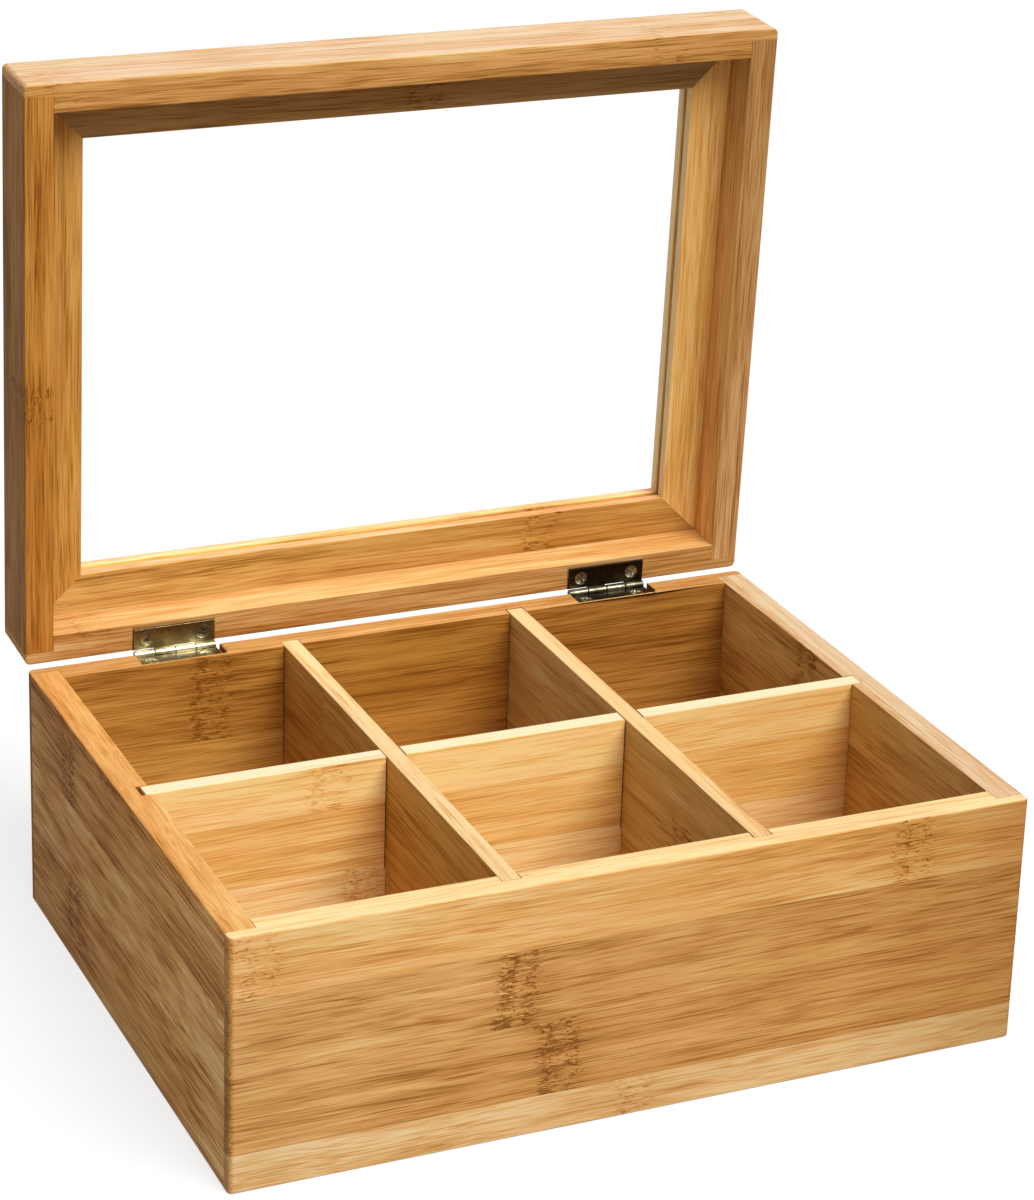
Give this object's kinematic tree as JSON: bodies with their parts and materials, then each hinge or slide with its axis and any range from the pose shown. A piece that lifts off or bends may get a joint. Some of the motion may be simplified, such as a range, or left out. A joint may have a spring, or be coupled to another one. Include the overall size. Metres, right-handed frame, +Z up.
{
  "type": "tea bag organizer box",
  "caption": "Bamboo box with a divided inside for tea bags and a windowed lid on butt hinges that swings from closed to upright.",
  "frame": {"origin": "middle of the box's underside", "axes": "+Z up, +X to the right along the width, +Y to the back, where the hinges are; the lid stands open at rest"},
  "size_m": [0.217, 0.1873, 0.2353],
  "materials": {
    "bamboo_walls": "clear satin lacquer on laminated bamboo",
    "bamboo_floor": "bare sanded bamboo board",
    "bamboo_dividers": "clear satin lacquer on thin bamboo boards",
    "bamboo_lid": "clear satin lacquer on laminated bamboo",
    "window_glass": "clear, flat",
    "worn_brass": "antique brass, rubbed bright on the knuckles",
    "dark_brass": "dark antique brass with bright edges",
    "pin_steel": "steel wire, dulled",
    "screw_metal": "brassy plating, worn in the cross recess"
  },
  "bodies": {
    "root": {"front_panel": "bamboo_walls", "rear_panel": "bamboo_walls", "left_side_panel": "bamboo_walls", "right_side_panel": "bamboo_walls", "bottom_panel": "bamboo_floor", "long_divider": "bamboo_dividers", "left_cross_divider": "bamboo_dividers", "right_cross_divider": "bamboo_dividers", "left_hinge_base_leaf": "worn_brass", "left_hinge_pin": "pin_steel", "left_hinge_base_screws": "screw_metal", "right_hinge_base_leaf": "dark_brass", "right_hinge_pin": "pin_steel", "right_hinge_base_screws": "screw_metal"},
    "lid": {"lid_front_rail": "bamboo_lid", "lid_rear_rail": "bamboo_lid", "lid_left_rail": "bamboo_lid", "lid_right_rail": "bamboo_lid", "window_front_slat": "bamboo_lid", "window_rear_slat": "bamboo_lid", "window_left_slat": "bamboo_lid", "window_right_slat": "bamboo_lid", "window_pane": "window_glass", "left_hinge_lid_leaf": "worn_brass", "left_hinge_lid_screws": "screw_metal", "right_hinge_lid_leaf": "dark_brass", "right_hinge_lid_screws": "screw_metal"}
  },
  "joints": [
    {"name": "lid_hinge", "type": "hinge", "parent": "root", "child": "lid", "pos_m": [0, 0.0835, 0.0684], "axis": [1, 0, 0], "range_deg": [0, 87]}
  ]
}
